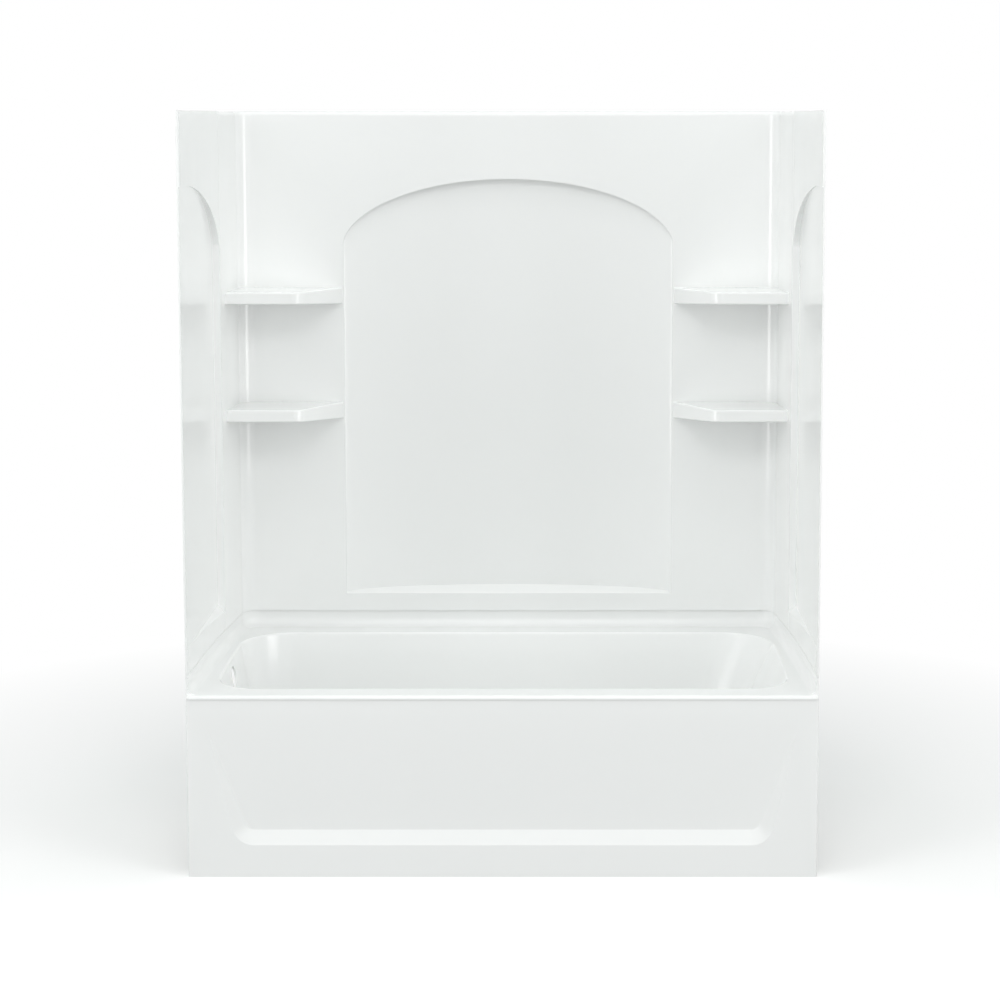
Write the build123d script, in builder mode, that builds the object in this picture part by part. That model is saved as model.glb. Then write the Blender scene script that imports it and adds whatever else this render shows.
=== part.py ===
from build123d import *
from math import cos, radians, sin, sqrt, tan
import os

os.makedirs("parts", exist_ok=True)

# An alcove bath and shower unit of four white mouldings: a bath with a moulded front, a back wall with
# an arched niche and four corner shelves, and two end walls with half an arch each. Millimetres.
# X runs along the bath, -Y is the open front, Z is up, and the floor is Z = 0.

# Overall size: a 60 inch by 32 inch alcove, 72 3/4 inches high.
width = 1524.0
depth = 813.0
height = 1848.0

# Thickness of the mouldings, and the soft seals between them.
bath_skin = 5.0
panel_skin = 4.0
seal_thickness = 2.0
seal_inset = 0.5
seal_width = 18.0

# Bath rim, its front lip, and the upstand with the ledge that the walls stand on.
deck_height = 450.0
lip_height = 9.0
lip_overhang = 5.0
lip_depth = 24.0
lip_radius = 8.0
front_setback = 10.0
upstand_height = 41.0
upstand_behind_wall = 8.0
cove_radius = 22.0

# Basin: steep at the drain end on the left, sloped for the bather's back on the right.
front_ledge = 75.0
rear_ledge = 129.0
end_ledge = 57.0
basin_floor_height = 90.0
drain_end_angle = 9.5
head_end_angle = 25.0
side_angle = 9.0
rim_front_corner = 110.0
rim_rear_corner = 140.0
floor_corner = 75.0
end_bow = 7.0
floor_fillet = 55.0
rim_radius = 7.0

# Waste and overflow holes.
drain_from_end = 215.0
drain_diameter = 52.0
drain_seat_diameter = 80.0
drain_seat_depth = 3.0
drain_boss_diameter = 94.0
drain_boss_depth = 4.0
overflow_diameter = 60.0
overflow_drop = 49.0

# Bath front, with a sunken panel that is flush at its top and deepest at its foot.
apron_return = 40.0
apron_foot = 25.0
apron_corner_radius = 4.0
panel_below_deck = 85.0
panel_foot = 79.0
panel_top_from_side = 51.5
panel_foot_from_side = 117.0
panel_sink = 16.0
panel_edge_angle = 65.0
panel_corner_radius = 55.0

# Wall faces: each end wall runs out flat at its front and swings inwards towards the back.
end_face_front = 4.0
end_face_joint = 22.0
joint_from_rear = 282.0
wall_back_gap = 45.0
corner_radius = 40.0
hollow_start = 330.0
top_roll = 12.0
end_top_roll = 3.5
bead_radius = 3.5

# Arches: a whole one on the back wall and half of one on each end wall, at the same levels.
sill_above_foot = 47.0
sill_rise = 20.0
arch_below_top = 180.0
arch_rise = 190.0
arch_overrun = 3.0
niche_from_side = 319.0
niche_sink = 30.0
niche_side_sink = 2.5
end_arch_start = 100.0

# Corner shelves, at heights above the feet of the walls.
shelf_rises = (574.0, 884.0)
shelf_from_rear = 232.0
shelf_front_thickness = 31.0
shelf_root_thickness = 44.0
shelf_straight_from_side = 219.0
shelf_tip_from_side = 316.0
shelf_corner_radius = 35.0
shelf_edge_radius = 4.0

# Bolts that draw the end walls to the back wall, hidden behind the faces.
low_bolt_above_foot = 22.0
high_bolts_below_top = (258.0, 138.0, 30.0)
bolt_from_side = 10.0
bolt_diameter = 6.0
bolt_hole_clearance = 0.6
bolt_length = 21.0
bolt_head_flats = 10.0
bolt_head_height = 4.0
washer_diameter = 12.0
washer_thickness = 1.6
nut_height = 5.0
thread_gap = 0.1

# Board and timbers that carry the basin and stiffen the mouldings.
board_thickness = 18.0
board_from_drain_end = 282.0
board_from_head_end = 300.0
board_side_margin = 65.0
runner_width = 60.0
runner_inset = 40.0
batten_width = 40.0
batten_height = 20.0
batten_from_side = 112.0
front_batten_gap = 2.0
rear_batten_gap = 16.0
post_width = 60.0
post_thickness = 20.0
post_from_side = 262.0
post_gap = 2.0
wall_batten_width = 60.0
wall_batten_thickness = 20.0
wall_batten_gap = 20.0
wall_batten_from_side = 172.0
top_batten_from_side = 212.0

# How far cutting shapes run past what they cut, and how near a chosen edge lies to its level.
beyond = 20.0
nearness = 0.5

# Places worked out from the sizes.
half = width / 2
front = -depth / 2
rear = depth / 2
deck_under = deck_height - bath_skin
ledge_top = deck_height + upstand_height
wall_foot = ledge_top + seal_thickness
wall_front = front + front_setback
joint_front = rear - joint_from_rear - seal_thickness / 2
joint_back = joint_front + seal_thickness
back_face = rear - wall_back_gap
upstand_back = back_face + upstand_behind_wall
recess_x = half - end_face_front
face_joint_x = half - end_face_joint
face_swing = end_face_joint - end_face_front
face_radius = ((joint_front - front) ** 2 + face_swing**2) / (2 * face_swing)
sill_height = wall_foot + sill_above_foot
arch_top = height - arch_below_top
arch_spring = arch_top - arch_rise
niche_half = half - niche_from_side
apron_face = front + lip_overhang
panel_top = deck_height - panel_below_deck
panel_top_half = half - panel_top_from_side
panel_foot_half = half - panel_foot_from_side
basin_front = front + front_ledge
basin_rear = rear - rear_ledge
basin_left = -half + end_ledge
basin_right = half - end_ledge
basin_middle = (basin_front + basin_rear) / 2
basin_depth = deck_height - basin_floor_height
floor_under = basin_floor_height - bath_skin
drain_shift = basin_depth * tan(radians(drain_end_angle))
head_shift = basin_depth * tan(radians(head_end_angle))
side_shift = basin_depth * tan(radians(side_angle))
drain_x = -half + drain_from_end
overflow_lean = radians(drain_end_angle)
overflow_plane = Plane(
    origin=(basin_left + overflow_drop * tan(overflow_lean), basin_middle, deck_height - overflow_drop),
    x_dir=(0, 1, 0),
    z_dir=(cos(overflow_lean), 0, sin(overflow_lean)),
)
shelf_front = rear - shelf_from_rear
shelf_straight_half = half - shelf_straight_from_side
shelf_tip_half = half - shelf_tip_from_side
shelf_tops = [wall_foot + rise for rise in shelf_rises]
bolt_x = half - bolt_from_side
bolt_hole_radius = (bolt_diameter + bolt_hole_clearance) / 2
bolt_heights = [wall_foot + low_bolt_above_foot] + [height - drop for drop in high_bolts_below_top]
right_bolt_places = [(bolt_x, bolt_height) for bolt_height in bolt_heights]
bolt_places = [(-bolt_x, bolt_height) for bolt_height in bolt_heights] + right_bolt_places


def side_x(y, grow=0.0):
    """Distance of an end wall's face from the middle of the unit, on one long arc."""
    return recess_x - face_radius + sqrt((face_radius + grow) ** 2 - (y - front) ** 2)


def alcove_plan(back, corner, grow=0.0):
    """The space between the wall faces seen from above, open at the front, grown outwards by a skin."""
    first = front - beyond
    last = back + grow
    middle = (first + last) / 2
    with BuildSketch(mode=Mode.PRIVATE) as plan:
        with BuildLine():
            right = ThreePointArc(
                (side_x(first, grow), first),
                (side_x(middle, grow), middle),
                (side_x(last, grow), last),
            )
            left = ThreePointArc(
                (-side_x(first, grow), first),
                (-side_x(middle, grow), middle),
                (-side_x(last, grow), last),
            )
            Line(right @ 1, left @ 1)
            Line(left @ 0, right @ 0)
        make_face()
        fillet(plan.vertices().group_by(Axis.Y)[-1], corner + grow)
    return plan.sketch


upstand_corner = corner_radius + upstand_behind_wall
wall_plan = alcove_plan(back_face, corner_radius)
wall_middle_plan = alcove_plan(back_face, corner_radius, panel_skin / 2)
wall_skin_plan = alcove_plan(back_face, corner_radius, panel_skin)
upstand_plan = alcove_plan(upstand_back, upstand_corner)
upstand_skin_plan = alcove_plan(upstand_back, upstand_corner, bath_skin)
seal_inner_plan = alcove_plan(upstand_back, upstand_corner, seal_inset)
seal_outer_plan = alcove_plan(upstand_back, upstand_corner, seal_inset + seal_width)


def basin_level(left, right, near, far, near_corner, far_corner, grow):
    """One level of the basin seen from above, with bowed ends and tighter corners in front."""
    middle = (near + far) / 2
    with BuildSketch(mode=Mode.PRIVATE) as plan:
        with BuildLine():
            Line((left, near), (right, near))
            ThreePointArc((right, near), (right + end_bow, middle), (right, far))
            Line((right, far), (left, far))
            ThreePointArc((left, far), (left - end_bow, middle), (left, near))
        make_face()
        fillet(plan.vertices().group_by(Axis.Y)[0], near_corner)
        fillet(plan.vertices().group_by(Axis.Y)[-1], far_corner)
        if grow > 0:
            offset(amount=grow)
    return plan.sketch


def basin_form(grow):
    """The basin as a solid from deck to floor, grown by the skin for its outside."""
    rim = basin_level(
        basin_left + end_bow,
        basin_right - end_bow,
        basin_front,
        basin_rear,
        rim_front_corner,
        rim_rear_corner,
        grow,
    )
    floor = basin_level(
        basin_left + end_bow + drain_shift,
        basin_right - end_bow - head_shift,
        basin_front + side_shift,
        basin_rear - side_shift,
        floor_corner,
        floor_corner,
        grow,
    )
    with BuildPart(mode=Mode.PRIVATE) as form:
        with BuildSketch(Plane.XY.offset(deck_height)):
            add(rim)
        with BuildSketch(Plane.XY.offset(basin_floor_height - grow)):
            add(floor)
        loft(ruled=True)
        fillet(form.faces().sort_by(Axis.Z)[0].edges(), floor_fillet + grow)
    return form.part


def sunken_panel(grow):
    """The hollow of the bath front: steep edges round a panel that tilts back towards its foot."""
    spread = grow / cos(radians(panel_edge_angle))
    slope = (panel_top_half - panel_foot_half) / (panel_top - panel_foot)
    foot_half = panel_foot_half + spread * (sqrt(1 + slope**2) - slope)
    top_half = foot_half + slope * (panel_top + beyond - panel_foot + spread)
    sink = panel_sink + grow
    foot_inside = panel_foot + panel_sink * tan(radians(panel_edge_angle))
    lean = panel_sink / (panel_top - foot_inside)
    low = panel_foot - spread - beyond
    with BuildPart(mode=Mode.PRIVATE) as form:
        with BuildSketch(Plane.XZ.offset(-apron_face)) as outline:
            with BuildLine():
                Polyline(
                    (-top_half, panel_top + beyond),
                    (-foot_half, panel_foot - spread),
                    (foot_half, panel_foot - spread),
                    (top_half, panel_top + beyond),
                    close=True,
                )
            make_face()
            fillet(outline.vertices().group_by(Axis.Y)[0], panel_corner_radius + spread)
        extrude(amount=-sink, taper=panel_edge_angle)
        with BuildSketch(Plane.YZ.offset(-half)):
            with BuildLine():
                Polyline(
                    (apron_face, panel_top + grow / lean),
                    (apron_face + sink + lean * (foot_inside - low), low),
                    (apron_face - beyond, low),
                    (apron_face - beyond, panel_top + grow / lean),
                    close=True,
                )
            make_face()
        extrude(amount=width, mode=Mode.INTERSECT)
    return form.part


# The bath's forms, each made by itself: the basin, the space inside the upstand, the lip and the front.
basin_outside = basin_form(bath_skin)
basin_inside = basin_form(0.0)
panel_behind = sunken_panel(bath_skin)
panel_hollow = sunken_panel(0.0)

with BuildPart(mode=Mode.PRIVATE) as upstand_space:
    with BuildSketch(Plane.XY.offset(deck_height)):
        add(upstand_plan)
    extrude(amount=upstand_height + beyond)
    foot_edges = upstand_space.faces().sort_by(Axis.Z)[0].edges().sort_by(Axis.Y)[1:]
    fillet(foot_edges, cove_radius)

with BuildPart(mode=Mode.PRIVATE) as lip:
    with BuildSketch(Plane.XY.offset(deck_height - lip_height)) as lip_plan:
        with Locations((0, front + lip_depth / 2)):
            Rectangle(width, lip_depth)
        fillet(lip_plan.vertices().group_by(Axis.Y)[0], front_setback)
    extrude(amount=lip_height)
    fillet(lip.faces().sort_by(Axis.Z)[-1].edges().sort_by(Axis.Y)[:3], lip_radius)

with BuildPart(mode=Mode.PRIVATE) as apron:
    with BuildSketch() as apron_plan:
        with Locations((0, apron_face + apron_return / 2)):
            Rectangle(width, apron_return)
        fillet(apron_plan.vertices().group_by(Axis.Y)[0], apron_corner_radius)
    extrude(amount=deck_under)
    with BuildSketch(Plane.XY.offset(bath_skin)):
        with Locations((0, apron_face + bath_skin + apron_return / 2)):
            Rectangle(width - 2 * bath_skin, apron_return)
    extrude(amount=deck_under - bath_skin, mode=Mode.SUBTRACT)
    with BuildSketch():
        with Locations((0, apron_face + apron_foot + apron_return / 2)):
            Rectangle(width - 2 * bath_skin, apron_return)
    extrude(amount=bath_skin, mode=Mode.SUBTRACT)
    add(panel_behind)
    add(panel_hollow, mode=Mode.SUBTRACT)

# Bath: deck, upstand, ledge, lip, front and basin in one moulding.
with BuildPart() as bath:
    with BuildSketch(Plane.XY.offset(deck_under)):
        with Locations((0, (wall_front + rear) / 2)):
            Rectangle(width, rear - wall_front)
    extrude(amount=ledge_top - deck_under)
    add(upstand_space.part, mode=Mode.SUBTRACT)
    with BuildSketch(Plane.XY.offset(deck_under)):
        with Locations((0, (front + hollow_start + rear + beyond) / 2)):
            Rectangle(width + beyond, rear + beyond - front - hollow_start)
        add(upstand_skin_plan, mode=Mode.SUBTRACT)
    extrude(amount=upstand_height, mode=Mode.SUBTRACT)
    add(lip.part)
    add(apron.part)
    add(basin_outside)
    with Locations((drain_x, basin_middle, floor_under - drain_boss_depth / 2)):
        Cylinder(drain_boss_diameter / 2, drain_boss_depth)
    add(basin_inside, mode=Mode.SUBTRACT)
    deck_edges = bath.edges().filter_by_position(Axis.Z, deck_height - nearness, deck_height + nearness)
    rim_edges = deck_edges.filter_by(
        lambda edge: basin_front - nearness < edge.center().Y < basin_rear + nearness
        and basin_left - nearness < edge.center().X < basin_right + nearness
    )
    fillet(rim_edges, rim_radius)
    with Locations((drain_x, basin_middle, basin_floor_height)):
        CounterBoreHole(
            drain_diameter / 2,
            drain_seat_diameter / 2,
            drain_seat_depth,
            depth=bath_skin + drain_boss_depth + beyond,
        )
    with Locations(overflow_plane.offset(bath_skin)):
        Hole(overflow_diameter / 2, depth=bath_skin + beyond)
bath.part.label = "bath"
export_step(bath.part, "parts/bath.step")


def niche_form(grow, ahead):
    """The arched niche as a solid: half an ellipse deep, with a sill that slopes to the front."""
    arch_half = niche_half + arch_overrun + grow
    floor_slope = sill_rise / niche_sink
    floor_drop = grow * sqrt(1 + floor_slope**2)
    face = back_face + niche_side_sink
    reach = niche_sink + beyond
    with BuildPart(mode=Mode.PRIVATE) as form:
        with BuildSketch(Plane.XY.offset(sill_height - reach)):
            with Locations((0, face)):
                Ellipse(niche_half + grow, niche_sink - niche_side_sink + grow)
            with Locations((0, face - ahead / 2)):
                Rectangle(2 * (niche_half + grow), ahead)
            with Locations((0, face + (reach - ahead) / 2)):
                Rectangle(width, reach + ahead, mode=Mode.INTERSECT)
        extrude(amount=arch_top - sill_height + 2 * reach)
        with BuildSketch(Plane.XZ.offset(reach - back_face)):
            with Locations((0, arch_spring)):
                Ellipse(arch_half, arch_rise + grow)
            with Locations((0, (arch_spring + sill_height - reach) / 2)):
                Rectangle(2 * arch_half, arch_spring - sill_height + reach)
        extrude(amount=-2 * reach, mode=Mode.INTERSECT)
        with BuildSketch(Plane.YZ.offset(-half)):
            with BuildLine():
                Polyline(
                    (back_face - reach, sill_height - floor_drop - reach * floor_slope),
                    (back_face + reach, sill_height - floor_drop + reach * floor_slope),
                    (back_face + reach, arch_top + reach),
                    (back_face - reach, arch_top + reach),
                    close=True,
                )
            make_face()
        extrude(amount=width, mode=Mode.INTERSECT)
    return form.part


with BuildPart(mode=Mode.PRIVATE) as shelf_limit:
    with BuildSketch(Plane.XY.offset(wall_foot)):
        add(wall_middle_plan)
    extrude(amount=height - wall_foot)


def shelf_form(top, inset):
    """One right-hand corner shelf, or the hollow inside it, from the wall corner to its chamfered front."""
    lean = (shelf_root_thickness - shelf_front_thickness) / (back_face - shelf_front)
    under_front = top - shelf_front_thickness + inset
    shelf_rear = back_face + beyond
    with BuildPart(mode=Mode.PRIVATE) as form:
        with BuildSketch(Plane.XY.offset(top - shelf_root_thickness - beyond)) as plan:
            with BuildLine():
                Polyline(
                    (half, shelf_front),
                    (shelf_straight_half, shelf_front),
                    (shelf_tip_half, back_face),
                    (shelf_tip_half, shelf_rear),
                    (half, shelf_rear),
                    close=True,
                )
            make_face()
            front_corner = plan.vertices().sort_by_distance((shelf_straight_half, shelf_front))[0]
            fillet(front_corner, shelf_corner_radius)
            if inset > 0:
                offset(amount=-inset)
        extrude(amount=shelf_root_thickness + beyond - inset)
        with BuildSketch(Plane.YZ):
            with BuildLine():
                Polyline(
                    (shelf_front - beyond, under_front + lean * beyond),
                    (shelf_rear, under_front - lean * (shelf_rear - shelf_front)),
                    (shelf_rear, top + beyond),
                    (shelf_front - beyond, top + beyond),
                    close=True,
                )
            make_face()
        extrude(amount=width, mode=Mode.INTERSECT)
        if inset == 0:
            level_edges = form.edges().filter_by(Axis.Z, reverse=True)
            front_edges = level_edges.filter_by(
                lambda edge: edge.center().Y < back_face - nearness and edge.center().X < half - nearness
            )
            fillet(front_edges, shelf_edge_radius)
            add(shelf_limit.part, mode=Mode.INTERSECT)
    return form.part


# The back wall's forms, each made by itself: its niche, its shelves and the space behind its skin.
niche_behind = niche_form(panel_skin, niche_side_sink)
niche_hollow = niche_form(0.0, beyond)
shelf_bodies = [shelf_form(top, 0.0) for top in shelf_tops]
shelf_hollows = [shelf_form(top, panel_skin) for top in shelf_tops]

with BuildPart(mode=Mode.PRIVATE) as stud_space:
    with BuildSketch(Plane.XY.offset(wall_foot + panel_skin)):
        with Locations((0, (joint_back + panel_skin + rear + beyond) / 2)):
            Rectangle(width + beyond, rear + beyond - joint_back - panel_skin)
        add(wall_skin_plan, mode=Mode.SUBTRACT)
    extrude(amount=height - wall_foot - 2 * panel_skin)
    roll_edges = stud_space.faces().sort_by(Axis.Z)[-1].edges().filter_by(
        lambda edge: abs(edge.center().X) < half - nearness
        and joint_back + panel_skin + nearness < edge.center().Y < rear - nearness
    )
    fillet(roll_edges, top_roll - panel_skin)

# Back wall: one moulding with its niche, side returns, rolled top and four hollow shelves.
with BuildPart() as back_wall:
    with BuildSketch(Plane.XY.offset(wall_foot)):
        with Locations((0, (joint_back + rear) / 2)):
            Rectangle(width, rear - joint_back)
        add(wall_plan, mode=Mode.SUBTRACT)
    extrude(amount=height - wall_foot)
    top_edges = back_wall.faces().sort_by(Axis.Z)[-1].edges().filter_by(
        lambda edge: abs(edge.center().X) < half - nearness
        and joint_back + nearness < edge.center().Y < rear - nearness
    )
    fillet(top_edges, top_roll)
    add(stud_space.part, mode=Mode.SUBTRACT)
    add(niche_behind)
    add(niche_hollow, mode=Mode.SUBTRACT)
    for shelf_body in shelf_bodies:
        add(shelf_body)
        mirror(shelf_body, about=Plane.YZ)
    for shelf_hollow in shelf_hollows:
        add(shelf_hollow, mode=Mode.SUBTRACT)
        mirror(shelf_hollow, about=Plane.YZ, mode=Mode.SUBTRACT)
    with BuildSketch(Plane.XZ.offset(-joint_back)):
        with Locations(bolt_places):
            Circle(bolt_hole_radius)
    extrude(amount=-panel_skin, mode=Mode.SUBTRACT)
back_wall.part.label = "back_wall"
export_step(back_wall.part, "parts/back_wall.step")


def end_recess(grow):
    """The half arch of the right end wall as a solid, flat at its back, with a sloping sill."""
    recess_rear = joint_front - panel_skin + grow
    arch_centre = front + end_arch_start
    first = wall_front - beyond
    middle = (first + recess_rear) / 2
    recess_top = arch_top + grow
    floor_slope = sill_rise / face_swing
    floor_drop = grow * sqrt(1 + floor_slope**2)
    with BuildPart(mode=Mode.PRIVATE) as form:
        with BuildSketch(Plane.YZ.offset(face_joint_x - beyond)):
            with Locations((arch_centre, arch_spring)):
                Ellipse(recess_rear + arch_overrun - arch_centre, arch_rise + grow)
            with Locations(((first + arch_centre) / 2, arch_spring)):
                Rectangle(arch_centre - first, 2 * (arch_rise + grow))
            with Locations((middle, (sill_height - beyond + arch_spring) / 2)):
                Rectangle(recess_rear - first, arch_spring - sill_height + beyond)
            with Locations((middle, (sill_height + recess_top) / 2)):
                Rectangle(recess_rear - first, recess_top - sill_height + 2 * beyond, mode=Mode.INTERSECT)
        extrude(amount=beyond + face_swing + grow)
        with BuildSketch(Plane.XZ.offset(-first)):
            with BuildLine():
                Polyline(
                    (face_joint_x - beyond, sill_height - floor_drop - beyond * floor_slope),
                    (half + beyond, sill_height - floor_drop + (end_face_joint + beyond) * floor_slope),
                    (half + beyond, arch_top + beyond),
                    (face_joint_x - beyond, arch_top + beyond),
                    close=True,
                )
            make_face()
        extrude(amount=first - joint_back, mode=Mode.INTERSECT)
    return form.part


# The right end wall's forms, each made by itself: its recess, outside and in, and the space behind it.
recess_behind = end_recess(panel_skin)
recess_hollow = end_recess(0.0)

with BuildPart(mode=Mode.PRIVATE) as end_space:
    with BuildSketch(Plane.XY.offset(wall_foot + panel_skin)):
        with Locations((half, (front + hollow_start + joint_front - panel_skin) / 2)):
            Rectangle(half, joint_front - panel_skin - front - hollow_start)
        add(wall_skin_plan, mode=Mode.SUBTRACT)
    extrude(amount=height - wall_foot - 2 * panel_skin)
    add(recess_behind, mode=Mode.SUBTRACT)

# End walls: each a thin moulding with half an arch pressed flat to the wall behind, a bead down its
# front edge and a flange at its rear. The left one is the right one's mirror image.
with BuildPart() as right_end_wall:
    with BuildSketch(Plane.XY.offset(wall_foot)):
        with Locations((half / 2, (wall_front + joint_front) / 2)):
            Rectangle(half, joint_front - wall_front)
        add(wall_plan, mode=Mode.SUBTRACT)
    extrude(amount=height - wall_foot)
    top_edge = right_end_wall.faces().sort_by(Axis.Z)[-1].edges().sort_by(Axis.X)[0]
    fillet(top_edge, end_top_roll)
    with Locations((half - bead_radius, wall_front + bead_radius, wall_foot)):
        Cylinder(bead_radius, height - wall_foot, align=(Align.CENTER, Align.CENTER, Align.MIN))
    add(end_space.part, mode=Mode.SUBTRACT)
    add(recess_hollow, mode=Mode.SUBTRACT)
    with BuildSketch(Plane.XZ.offset(-joint_front)):
        with Locations(right_bolt_places):
            Circle(bolt_hole_radius)
    extrude(amount=panel_skin, mode=Mode.SUBTRACT)
right_end_wall.part.label = "right_end_wall"
export_step(right_end_wall.part, "parts/right_end_wall.step")

with BuildPart() as left_end_wall:
    mirror(right_end_wall.part, about=Plane.YZ)
left_end_wall.part.label = "left_end_wall"
export_step(left_end_wall.part, "parts/left_end_wall.step")


# Soft seals between the bath's ledge and the feet of the three walls, cut from one ring.
joint_line = (joint_front + joint_back) / 2

with BuildSketch(mode=Mode.PRIVATE) as ledge_ring:
    with Locations((0, (wall_front + seal_inset + rear) / 2)):
        Rectangle(width - 2 * seal_inset, rear - wall_front - seal_inset)
    add(seal_inner_plan, mode=Mode.SUBTRACT)
    add(seal_outer_plan, mode=Mode.INTERSECT)

with BuildPart() as back_ledge_seal:
    with BuildSketch(Plane.XY.offset(ledge_top)):
        add(ledge_ring.sketch)
        with Locations((0, joint_line + depth / 2)):
            Rectangle(width, depth, mode=Mode.INTERSECT)
    extrude(amount=seal_thickness)
back_ledge_seal.part.label = "back_ledge_seal"
export_step(back_ledge_seal.part, "parts/back_ledge_seal.step")

with BuildPart() as right_ledge_seal:
    with BuildSketch(Plane.XY.offset(ledge_top)):
        add(ledge_ring.sketch)
        with Locations((half, joint_line - depth / 2)):
            Rectangle(width, depth, mode=Mode.INTERSECT)
    extrude(amount=seal_thickness)
right_ledge_seal.part.label = "right_ledge_seal"
export_step(right_ledge_seal.part, "parts/right_ledge_seal.step")

with BuildPart() as left_ledge_seal:
    mirror(right_ledge_seal.part, about=Plane.YZ)
left_ledge_seal.part.label = "left_ledge_seal"
export_step(left_ledge_seal.part, "parts/left_ledge_seal.step")

# Soft seals in the two upright joints, with a hole for each bolt.
with BuildPart() as right_joint_seal:
    with BuildSketch(Plane.XZ.offset(-joint_front)):
        with Locations(((side_x(joint_line) + half) / 2, (wall_foot + height) / 2)):
            Rectangle(half - side_x(joint_line) - 2 * seal_inset, height - wall_foot - 2 * seal_inset)
        with Locations(right_bolt_places):
            Circle(bolt_hole_radius, mode=Mode.SUBTRACT)
    extrude(amount=-seal_thickness)
right_joint_seal.part.label = "right_joint_seal"
export_step(right_joint_seal.part, "parts/right_joint_seal.step")

with BuildPart() as left_joint_seal:
    mirror(right_joint_seal.part, about=Plane.YZ)
left_joint_seal.part.label = "left_joint_seal"
export_step(left_joint_seal.part, "parts/left_joint_seal.step")

# Fixings of both joints: hexagon bolts from the front, washers under heads and nuts, nuts at the back.
front_washer_y = joint_front - panel_skin - washer_thickness
rear_washer_y = joint_back + panel_skin

with BuildPart() as joint_bolts:
    with BuildSketch(Plane.XZ.offset(-front_washer_y)):
        with Locations(bolt_places):
            RegularPolygon(bolt_head_flats / 2, 6, major_radius=False)
    extrude(amount=bolt_head_height)
    with BuildSketch(Plane.XZ.offset(-front_washer_y)):
        with Locations(bolt_places):
            Circle(bolt_diameter / 2)
    extrude(amount=-bolt_length)
joint_bolts.part.label = "joint_bolts"
export_step(joint_bolts.part, "parts/joint_bolts.step")

with BuildPart() as joint_washers:
    for washer_y in (front_washer_y, rear_washer_y):
        with BuildSketch(Plane.XZ.offset(-washer_y)):
            with Locations(bolt_places):
                Circle(washer_diameter / 2)
                Circle(bolt_hole_radius, mode=Mode.SUBTRACT)
        extrude(amount=-washer_thickness)
joint_washers.part.label = "joint_washers"
export_step(joint_washers.part, "parts/joint_washers.step")

with BuildPart() as joint_nuts:
    with BuildSketch(Plane.XZ.offset(-rear_washer_y - washer_thickness)):
        with Locations(bolt_places):
            RegularPolygon(bolt_head_flats / 2, 6, major_radius=False)
            Circle(bolt_diameter / 2 + thread_gap, mode=Mode.SUBTRACT)
    extrude(amount=-nut_height)
joint_nuts.part.label = "joint_nuts"
export_step(joint_nuts.part, "parts/joint_nuts.step")

# Floor board bonded under the basin, and the two runners that it stands on.
board_left = -half + board_from_drain_end
board_right = half - board_from_head_end
board_middle = (board_left + board_right) / 2
board_length = board_right - board_left
board_front = basin_front + side_shift + board_side_margin
board_rear = basin_rear - side_shift - board_side_margin
board_under = floor_under - board_thickness

with BuildPart() as floor_board:
    with BuildSketch(Plane.XY.offset(board_under)):
        with Locations((board_middle, (board_front + board_rear) / 2)):
            Rectangle(board_length, board_rear - board_front)
    extrude(amount=board_thickness)
floor_board.part.label = "floor_board"
export_step(floor_board.part, "parts/floor_board.step")

with BuildPart() as front_runner:
    with BuildSketch():
        with Locations((board_middle, board_front + runner_inset + runner_width / 2)):
            Rectangle(board_length, runner_width)
    extrude(amount=board_under)
front_runner.part.label = "front_runner"
export_step(front_runner.part, "parts/front_runner.step")

with BuildPart() as rear_runner:
    with BuildSketch():
        with Locations((board_middle, board_rear - runner_inset - runner_width / 2)):
            Rectangle(board_length, runner_width)
    extrude(amount=board_under)
rear_runner.part.label = "rear_runner"
export_step(rear_runner.part, "parts/rear_runner.step")

# Timbers bonded under the front and rear of the rim.
batten_under = deck_under - batten_height
front_batten_front = front + lip_depth + front_batten_gap
rear_batten_front = basin_rear + bath_skin + rear_batten_gap

with BuildPart() as front_rim_batten:
    with BuildSketch(Plane.XY.offset(batten_under)):
        with Locations((0, front_batten_front + batten_width / 2)):
            Rectangle(width - 2 * batten_from_side, batten_width)
    extrude(amount=batten_height)
front_rim_batten.part.label = "front_rim_batten"
export_step(front_rim_batten.part, "parts/front_rim_batten.step")

with BuildPart() as rear_rim_batten:
    with BuildSketch(Plane.XY.offset(batten_under)):
        with Locations((0, rear_batten_front + batten_width / 2)):
            Rectangle(width - 2 * batten_from_side, batten_width)
    extrude(amount=batten_height)
rear_rim_batten.part.label = "rear_rim_batten"
export_step(rear_rim_batten.part, "parts/rear_rim_batten.step")

# Posts from the floor to the front batten, close behind the sunken panel.
post_front = apron_face + max(panel_sink + bath_skin, apron_foot) + post_gap
outer_post_x = half - post_from_side
post_names = ("left_apron_post", "centre_apron_post", "right_apron_post")
for name, post_x in zip(post_names, (-outer_post_x, 0.0, outer_post_x)):
    with BuildPart() as apron_post:
        with BuildSketch():
            with Locations((post_x, post_front + post_thickness / 2)):
                Rectangle(post_width, post_thickness)
        extrude(amount=batten_under)
    apron_post.part.label = name
    export_step(apron_post.part, f"parts/{name}.step")

# Timbers bonded behind the flat parts of the back wall: one each side under the shelves, one on top.
wall_back = back_face + panel_skin
side_batten_foot = wall_foot + panel_skin + wall_batten_gap
side_batten_top = shelf_tops[0] - shelf_root_thickness - wall_batten_gap
side_batten_x = half - wall_batten_from_side
for name, batten_x in (
    ("left_wall_batten", -side_batten_x),
    ("right_wall_batten", side_batten_x),
):
    with BuildPart() as wall_batten:
        with BuildSketch(Plane.XY.offset(side_batten_foot)):
            with Locations((batten_x, wall_back + wall_batten_thickness / 2)):
                Rectangle(wall_batten_width, wall_batten_thickness)
        extrude(amount=side_batten_top - side_batten_foot)
    wall_batten.part.label = name
    export_step(wall_batten.part, f"parts/{name}.step")

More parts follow.
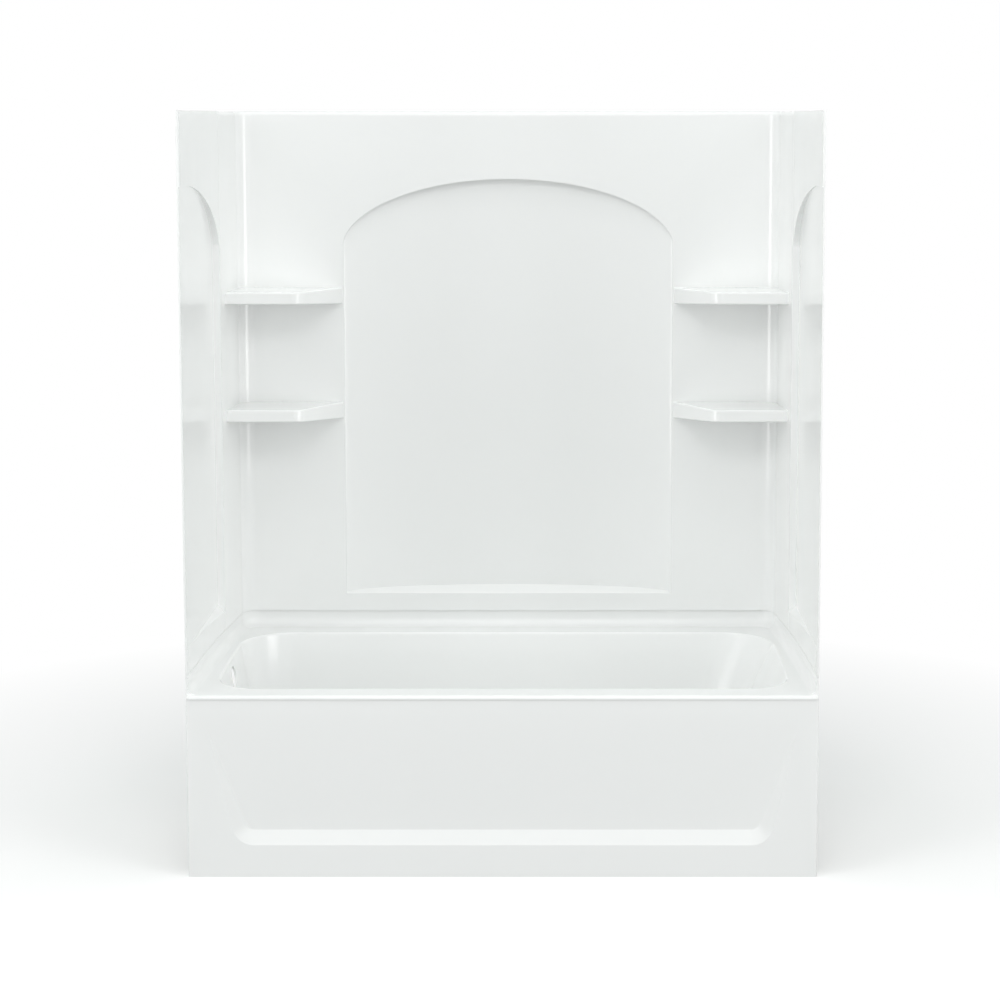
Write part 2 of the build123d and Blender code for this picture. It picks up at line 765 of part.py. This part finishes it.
with BuildPart() as top_wall_batten:
    with BuildSketch(Plane.XY.offset(arch_top + panel_skin + wall_batten_gap)):
        with Locations((0, wall_back + wall_batten_thickness / 2)):
            Rectangle(width - 2 * top_batten_from_side, wall_batten_thickness)
    extrude(amount=wall_batten_width)
top_wall_batten.part.label = "top_wall_batten"
export_step(top_wall_batten.part, "parts/top_wall_batten.step")
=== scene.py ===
from math import atan, pi, radians

import bmesh
import bpy
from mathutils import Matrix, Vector
from mathutils.bvhtree import BVHTree


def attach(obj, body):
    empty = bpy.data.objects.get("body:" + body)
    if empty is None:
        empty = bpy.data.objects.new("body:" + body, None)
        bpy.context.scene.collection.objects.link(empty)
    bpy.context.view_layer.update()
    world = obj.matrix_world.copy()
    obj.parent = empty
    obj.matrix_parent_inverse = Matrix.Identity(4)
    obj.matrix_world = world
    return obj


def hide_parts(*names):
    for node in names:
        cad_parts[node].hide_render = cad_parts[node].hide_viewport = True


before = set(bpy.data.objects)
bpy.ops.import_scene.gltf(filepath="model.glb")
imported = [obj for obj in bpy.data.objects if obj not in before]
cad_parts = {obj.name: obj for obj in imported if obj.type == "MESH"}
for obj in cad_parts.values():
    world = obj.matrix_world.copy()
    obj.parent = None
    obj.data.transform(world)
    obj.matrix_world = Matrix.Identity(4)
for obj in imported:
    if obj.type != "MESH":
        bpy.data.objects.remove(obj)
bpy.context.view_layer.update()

# Camera: at head height and a little right of the middle, as the photograph was taken. It tips down and keeps
# a small shift, so that the unit also stays inside the frame when it is seen from other sides.
eye = Vector((0.1316, -5.7825, 1.825))
lens_mm = 82.35
sensor_mm = 36.0
picture_px = 1000
vanishing_point_px = (557.0, 120.0)
kept_shift = -0.13

focal_px = lens_mm / sensor_mm * picture_px
drop_px = picture_px / 2 - vanishing_point_px[1]
tip_down = atan((drop_px + kept_shift * picture_px) / focal_px)
camera_data = bpy.data.cameras.new("camera")
camera_data.lens = lens_mm
camera_data.sensor_width = sensor_mm
camera_data.shift_x = (picture_px / 2 - vanishing_point_px[0]) / picture_px
camera_data.shift_y = kept_shift
camera = bpy.data.objects.new("camera", camera_data)
camera.location = eye
camera.rotation_euler = (pi / 2 - tip_down, 0.0, 0.0)
bpy.context.scene.collection.objects.link(camera)
bpy.context.scene.camera = camera
bpy.context.scene.view_settings.view_transform = "Standard"

# Bath: one compression moulding of white filled resin, with deck, basin and front in one piece. Its face is as
# glossy as the mould, its back is matt with chopped glass showing, and a fine grip is moulded in its floor.
edge_radius = 0.0012
sharp_angle = radians(35)
shallow_step_angle = radians(20)
flat_angle = radians(0.5)
weld_distance = 1e-6
front_places = [
    Vector((across, along, height))
    for across in (-0.6, -0.2, 0.2, 0.6)
    for along in (-0.3, 0.1)
    for height in (0.54, 1.0, 1.25, 1.7)
] + [Vector((across, -3.0, height)) for across in (-0.7, 0.0, 0.7) for height in (0.2, 1.0, 1.8)]
skin_lift = 0.0004
white_colour = (0.914, 0.922, 0.916)
white_cloud_colour = (0.898, 0.908, 0.902)
back_colour = (0.64, 0.64, 0.60)
back_fibre_colour = (0.80, 0.80, 0.76)
grip_floor = (-0.52, 0.42, -0.20, 0.15)


class Value:
    """One output socket in a node tree; sums and products of values add their own Math nodes."""

    def __init__(self, tree, socket=None):
        self.tree = tree
        self.socket = socket

    def node(self, kind, output=0, settings=None, stops=None, **inputs):
        made = self.tree.nodes.new(kind)
        for key, setting in (settings or {}).items():
            setattr(made, key, setting)
        for index, (position, colour) in enumerate(stops or []):
            element = made.color_ramp.elements[index] if index < 2 else made.color_ramp.elements.new(position)
            element.position = position
            element.color = colour
        for key, value in inputs.items():
            socket = made.inputs[int(key[1:])] if key[1:].isdigit() else made.inputs[key.replace("_", " ")]
            if isinstance(value, Value):
                self.tree.links.new(value.socket, socket)
            else:
                socket.default_value = value
        return Value(self.tree, made.outputs[output] if made.outputs else None)

    def maths(self, operation, first, second):
        return self.node("ShaderNodeMath", settings={"operation": operation}, i0=first, i1=second)

    def __add__(self, other):
        return self.maths("ADD", self, other)

    def __radd__(self, other):
        return self.maths("ADD", other, self)

    def __sub__(self, other):
        return self.maths("SUBTRACT", self, other)

    def __rsub__(self, other):
        return self.maths("SUBTRACT", other, self)

    def __mul__(self, other):
        return self.maths("MULTIPLY", self, other)

    def __rmul__(self, other):
        return self.maths("MULTIPLY", other, self)

    def __gt__(self, other):
        return self.maths("GREATER_THAN", self, other)

    def __lt__(self, other):
        return self.maths("LESS_THAN", self, other)

    def blend(self, first, second):
        """A colour that goes from the first to the second as this value goes from 0 to 1."""
        return self.node(
            "ShaderNodeMix", 2, settings={"data_type": "RGBA"}, Factor=self, i6=first, i7=second
        )


def new_finish(name):
    material = bpy.data.materials.new(name)
    material.use_nodes = True
    material.node_tree.nodes.clear()
    return material, Value(material.node_tree)


def opaque(colour):
    return (*colour, 1.0)


def white_finish(name, grip=None):
    """Glossy white resin: a faint cloud in its tone and gloss, a long ripple, and a grip on a bath's floor."""
    material, value = new_finish(name)
    place = value.node("ShaderNodeTexCoord", "Object")
    cloud = value.node("ShaderNodeTexNoise", "Fac", Vector=place, Scale=2.3, Detail=3.0)
    speck = value.node("ShaderNodeTexNoise", "Fac", Vector=place, Scale=260.0, Detail=2.0)
    wave = value.node("ShaderNodeTexNoise", "Fac", Vector=place, Scale=9.0, Detail=1.0)
    relief = wave + speck * 0.02
    roughness = 0.09 + cloud * 0.07 + speck * 0.03
    if grip:
        left, right, near, far = grip
        spread = value.node("ShaderNodeSeparateXYZ", 0, Vector=place)
        across = Value(value.tree, spread.socket.node.outputs["X"])
        along = Value(value.tree, spread.socket.node.outputs["Y"])
        level = Value(value.tree, spread.socket.node.outputs["Z"])
        inside = (across > left) * (across < right) * (along > near) * (along < far)
        on_floor = inside * (level > 0.0895) * (level < 0.0925)
        dots = value.node("ShaderNodeTexVoronoi", "Distance", Vector=place, Scale=170.0, Randomness=0.25)
        relief = relief + on_floor * (dots < 0.36) * 0.9
        roughness = roughness + on_floor * 0.12
    surface = value.node("ShaderNodeBump", 0, Strength=0.16, Distance=0.0006, Height=relief)
    shader = value.node(
        "ShaderNodeBsdfPrincipled",
        0,
        Base_Color=cloud.blend(opaque(white_cloud_colour), opaque(white_colour)),
        Roughness=roughness,
        IOR=1.5,
        Normal=surface,
    )
    value.node("ShaderNodeOutputMaterial", Surface=shader)
    return material


def raw_back_finish(name):
    """The matt back of a moulding: grey-white resin with chopped strands lying every way in it."""
    material, value = new_finish(name)
    place = value.node("ShaderNodeTexCoord", "Object")
    strands = 0.0
    for turn in (0.0, 0.9, 1.9, 2.7):
        turned = value.node(
            "ShaderNodeMapping", 0, Vector=place, Rotation=(turn, turn * 0.7, turn), Scale=(240.0, 22.0, 90.0)
        )
        strand = value.node("ShaderNodeTexNoise", "Fac", Vector=turned, Scale=1.0, Detail=1.0)
        strands = (strand > 0.60) * 0.25 + strands
    blotch = value.node("ShaderNodeTexNoise", "Fac", Vector=place, Scale=14.0, Detail=4.0)
    surface = value.node("ShaderNodeBump", 0, Strength=0.5, Distance=0.0006, Height=strands + blotch)
    shader = value.node(
        "ShaderNodeBsdfPrincipled",
        0,
        Base_Color=(strands * 0.8 + blotch * 0.25).blend(opaque(back_colour), opaque(back_fibre_colour)),
        Roughness=0.62 + blotch * 0.2,
        Normal=surface,
    )
    value.node("ShaderNodeOutputMaterial", Surface=shader)
    return material


def finished_copy(node, name, radius, face_finishes, finish_of=None, rounded_from=sharp_angle):
    """A welded copy of a solid's skin, shaded evenly, with its edges rounded, that stands for the solid."""
    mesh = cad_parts[node].data.copy()
    mesh.materials.clear()
    skin = bmesh.new()
    skin.from_mesh(mesh)
    bmesh.ops.remove_doubles(skin, verts=skin.verts, dist=weld_distance)
    hits = BVHTree.FromBMesh(skin)
    for face in skin.faces:
        face.smooth = True
        face.material_index = finish_of(face, hits) if finish_of else 0
    bmesh.ops.dissolve_limit(
        skin, angle_limit=flat_angle, verts=skin.verts, edges=skin.edges, delimit={"MATERIAL"}
    )
    skin.to_mesh(mesh)
    skin.free()
    for finish in face_finishes:
        mesh.materials.append(finish)
    piece = bpy.data.objects.new(name, mesh)
    bpy.context.scene.collection.objects.link(piece)
    rounding = piece.modifiers.new("rounded_edges", "BEVEL")
    rounding.width = radius
    rounding.segments = 2
    rounding.limit_method = "ANGLE"
    rounding.angle_limit = rounded_from
    shading = piece.modifiers.new("even_shading", "WEIGHTED_NORMAL")
    shading.keep_sharp = True
    shading.weight = 80
    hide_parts(node)
    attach(piece, "root")
    return piece


def face_or_back(face, hits):
    """0 where a face can be seen from the front or from inside the alcove, 1 where it can't."""
    start = face.calc_center_median() + face.normal * skin_lift
    for place in front_places:
        way = place - start
        if way.dot(face.normal) > 0 and hits.ray_cast(start, way.normalized(), way.length)[0] is None:
            return 0
    return 1


bath_white = white_finish("bath_white", grip_floor)
raw_back = raw_back_finish("raw_back")
bath = finished_copy(
    "bath", "bath_moulding", edge_radius, (bath_white, raw_back), face_or_back, shallow_step_angle
)

# Back wall: a thinner moulding of the same resin, with its niche, its returns and four hollow corner shelves
# in one piece. It stands on the bath's ledge and is nailed to the studs through its top flange.
wall_white = white_finish("wall_white")
back_wall = finished_copy("back_wall", "back_wall_moulding", edge_radius, (wall_white, raw_back), face_or_back)

# End walls: a mirrored pair of the same resin, each with half an arch pressed flat to the stud behind it and a
# bead down its front edge. They snap against the back wall's returns and are drawn up with bolts.
for side in ("left", "right"):
    end_wall = finished_copy(
        side + "_end_wall", side + "_end_wall_moulding", edge_radius, (wall_white, raw_back), face_or_back
    )

# Seals: white sealant strips laid on the bath's ledge and in the two upright joints, squeezed flat when the
# walls are drawn down and together.
seal_colour = (0.80, 0.815, 0.81)
seal_dull_colour = (0.70, 0.71, 0.70)
sealant, value = new_finish("white_sealant")
place = value.node("ShaderNodeTexCoord", "Object")
lump = value.node("ShaderNodeTexNoise", "Fac", Vector=place, Scale=85.0, Detail=3.0)
value.node(
    "ShaderNodeOutputMaterial",
    Surface=value.node(
        "ShaderNodeBsdfPrincipled",
        0,
        Base_Color=lump.blend(opaque(seal_dull_colour), opaque(seal_colour)),
        Roughness=0.38 + lump * 0.2,
        Normal=value.node("ShaderNodeBump", 0, Strength=0.4, Distance=0.0004, Height=lump),
    ),
)
for node in ("back_ledge_seal", "left_ledge_seal", "right_ledge_seal", "left_joint_seal", "right_joint_seal"):
    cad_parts[node].material_slots[0].material = sealant

# Fixings: hexagon bolts, washers and nuts of zinc-plated steel that draw the end walls to the back wall. They
# sit behind the faces, where only the fitter sees them.
zinc_colour = (0.58, 0.59, 0.60)
zinc_blue_colour = (0.46, 0.50, 0.56)
zinc, value = new_finish("zinc_plate")
place = value.node("ShaderNodeTexCoord", "Object")
spangle = value.node("ShaderNodeTexVoronoi", "Color", Vector=place, Scale=420.0)
patch = value.node("ShaderNodeTexNoise", "Fac", Vector=place, Scale=110.0, Detail=3.0)
value.node(
    "ShaderNodeOutputMaterial",
    Surface=value.node(
        "ShaderNodeBsdfPrincipled",
        0,
        Base_Color=patch.blend(opaque(zinc_colour), opaque(zinc_blue_colour)),
        Metallic=1.0,
        Roughness=0.26 + patch * 0.22,
        Normal=value.node("ShaderNodeBump", 0, Strength=0.15, Distance=0.0002, Height=spangle),
    ),
)
for node, radius in (("joint_bolts", 0.0005), ("joint_washers", 0.0003), ("joint_nuts", 0.0005)):
    fixing = finished_copy(node, node + "_plated", radius, (zinc,))

# Floor board: a slab of chipboard bonded under the basin's floor, which spreads a bather's weight onto the
# runners. Its faces show pressed flakes and its sawn edges are coarser.
flake_colours = (
    (0.0, (0.36, 0.25, 0.14, 1.0)),
    (0.35, (0.50, 0.37, 0.22, 1.0)),
    (0.7, (0.62, 0.48, 0.31, 1.0)),
    (1.0, (0.74, 0.61, 0.43, 1.0)),
)
chipboard, value = new_finish("chipboard")
place = value.node("ShaderNodeTexCoord", "Object")
bend = value.node("ShaderNodeTexNoise", "Color", Vector=place, Scale=60.0, Detail=2.0)
bent = value.node("ShaderNodeVectorMath", 0, settings={"operation": "MULTIPLY_ADD"}, i0=bend, i1=(0.012, 0.012, 0.012), i2=place)
flake = value.node("ShaderNodeTexVoronoi", "Color", Vector=bent, Scale=130.0)
flake_shade = value.node("ShaderNodeSeparateColor", 0, Color=flake)
dust = value.node("ShaderNodeTexNoise", "Fac", Vector=place, Scale=500.0, Detail=2.0)
value.node(
    "ShaderNodeOutputMaterial",
    Surface=value.node(
        "ShaderNodeBsdfPrincipled",
        0,
        Base_Color=value.node("ShaderNodeValToRGB", 0, stops=flake_colours, Fac=flake_shade * 0.75 + dust * 0.25),
        Roughness=0.72 + dust * 0.15,
        Normal=value.node("ShaderNodeBump", 0, Strength=0.5, Distance=0.0006, Height=flake_shade + dust * 0.5),
    ),
)
board = finished_copy("floor_board", "floor_board_panel", 0.0008, (chipboard,))

# Timbers: sawn softwood, planed on its arrises, that carries the basin, stiffens the rim and the wall and
# stands behind the bath front. Each piece's grain runs along its length.
early_wood = (0.78, 0.62, 0.41)
late_wood = (0.60, 0.41, 0.22)
grain_across = 75.0
grain_along = 2.2


def timber_finish(name, length_axis):
    material, value = new_finish(name)
    place = value.node("ShaderNodeTexCoord", "Object")
    stretch = [grain_across] * 3
    stretch[length_axis] = grain_along
    drawn = value.node("ShaderNodeMapping", 0, Vector=place, Scale=tuple(stretch))
    ring = value.node("ShaderNodeTexNoise", "Fac", Vector=drawn, Scale=1.0, Detail=2.0, Distortion=0.6)
    band = value.node("ShaderNodeMath", settings={"operation": "PINGPONG"}, i0=ring * 6.0, i1=1.0)
    fibre = value.node("ShaderNodeTexNoise", "Fac", Vector=drawn, Scale=9.0, Detail=2.0)
    saw = value.node("ShaderNodeTexNoise", "Fac", Vector=place, Scale=220.0, Detail=2.0)
    value.node(
        "ShaderNodeOutputMaterial",
        Surface=value.node(
            "ShaderNodeBsdfPrincipled",
            0,
            Base_Color=(band * 0.7 + fibre * 0.3).blend(opaque(early_wood), opaque(late_wood)),
            Roughness=0.66 + fibre * 0.18,
            Normal=value.node("ShaderNodeBump", 0, Strength=0.35, Distance=0.0005, Height=band * 0.4 + fibre + saw * 0.5),
        ),
    )
    return material


level_timber = timber_finish("softwood_level", 0)
upright_timber = timber_finish("softwood_upright", 2)
for node in ("front_runner", "rear_runner", "front_rim_batten", "rear_rim_batten", "top_wall_batten"):
    timber = finished_copy(node, node + "_timber", 0.002, (level_timber,))
for node in ("left_apron_post", "centre_apron_post", "right_apron_post", "left_wall_batten", "right_wall_batten"):
    timber = finished_copy(node, node + "_timber", 0.002, (upright_timber,))

# Light: soft boxes on both sides, overhead, high in front and far in front, with an even fill from a white room.
# The room is white where it is seen, or shows in the gloss, and dimmer where it lights the unit.
box_places = (
    ("left", (-4.2, -3.0, 1.0), 2.5, 2.0, 66.0),
    ("right", (4.2, -3.0, 1.0), 2.5, 2.0, 66.0),
    ("left_high", (-3.6, -3.2, 3.4), 2.5, 2.5, 28.0),
    ("right_high", (3.6, -3.2, 3.4), 2.5, 2.5, 28.0),
    ("overhead", (0.0, -0.6, 4.2), 3.0, 3.0, 34.0),
    ("key", (0.0, -3.6, 3.5), 1.6, 1.0, 25.0),
    ("front", (0.0, -7.0, 1.8), 7.0, 3.0, 20.0),
)
aim = Vector((0.0, 0.0, 1.0))
lamp_colour = (1.0, 0.987, 0.987)
fill_colour = (0.93, 1.0, 0.985)
fill_strength = 0.45
for name, place, width, height, watts in box_places:
    lamp_data = bpy.data.lights.new(name, "AREA")
    lamp_data.shape = "RECTANGLE"
    lamp_data.size = width
    lamp_data.size_y = height
    lamp_data.energy = watts
    lamp_data.color = lamp_colour
    lamp = bpy.data.objects.new(name, lamp_data)
    lamp.location = place
    lamp.rotation_euler = (aim - lamp.location).to_track_quat("-Z", "Y").to_euler()
    bpy.context.scene.collection.objects.link(lamp)

room = bpy.data.worlds.new("white_room")
room.use_nodes = True
room.node_tree.nodes.clear()
bpy.context.scene.world = room
value = Value(room.node_tree)


def seen_rays(value):
    """1 for rays from the camera, or reflected or passed by the object, and 0 for rays that only light it."""
    ray = value.node("ShaderNodeLightPath", "Is Camera Ray")
    outputs = ray.socket.node.outputs
    return ray + Value(value.tree, outputs["Is Glossy Ray"]) + Value(value.tree, outputs["Is Transmission Ray"])


lit = value.node("ShaderNodeBackground", 0, Color=opaque(fill_colour), Strength=fill_strength)
shown = value.node("ShaderNodeBackground", 0, Color=(1.0, 1.0, 1.0, 1.0), Strength=1.0)
value.node("ShaderNodeOutputWorld", Surface=value.node("ShaderNodeMixShader", 0, i0=seen_rays(value), i1=lit, i2=shown))

# Floor: a plain white studio floor. It keeps the unit's soft shadow, and is as white as the room further off.
floor_half_width = 14.0
floor_shown_colour = (0.82, 0.82, 0.82)
floor_lit_colour = (0.36, 0.36, 0.36)
floor_glow = 0.30
shadow_reach = 1.1
white_from = 2.4
floor_mesh = bpy.data.meshes.new("floor")
floor_form = bmesh.new()
bmesh.ops.create_grid(floor_form, x_segments=1, y_segments=1, size=floor_half_width)
floor_form.to_mesh(floor_mesh)
floor_form.free()
floor = bpy.data.objects.new("floor", floor_mesh)
bpy.context.scene.collection.objects.link(floor)
floor_finish, value = new_finish("floor_white")
place = value.node("ShaderNodeTexCoord", "Object")
away = value.node("ShaderNodeVectorMath", "Value", settings={"operation": "LENGTH"}, i0=place)
far = value.node("ShaderNodeMapRange", 0, Value=away, From_Min=shadow_reach, From_Max=white_from)
lit = value.node("ShaderNodeBsdfDiffuse", 0, Color=opaque(floor_lit_colour))
paint = value.node("ShaderNodeBsdfDiffuse", 0, Color=opaque(floor_shown_colour))
glow = value.node("ShaderNodeEmission", 0, Color=(1.0, 1.0, 1.0, 1.0), Strength=floor_glow)
near_floor = value.node("ShaderNodeAddShader", 0, i0=paint, i1=glow)
far_floor = value.node("ShaderNodeEmission", 0, Color=(1.0, 1.0, 1.0, 1.0), Strength=1.0)
shown = value.node("ShaderNodeMixShader", 0, i0=far, i1=near_floor, i2=far_floor)
value.node("ShaderNodeOutputMaterial", Surface=value.node("ShaderNodeMixShader", 0, i0=seen_rays(value), i1=lit, i2=shown))
floor_mesh.materials.append(floor_finish)
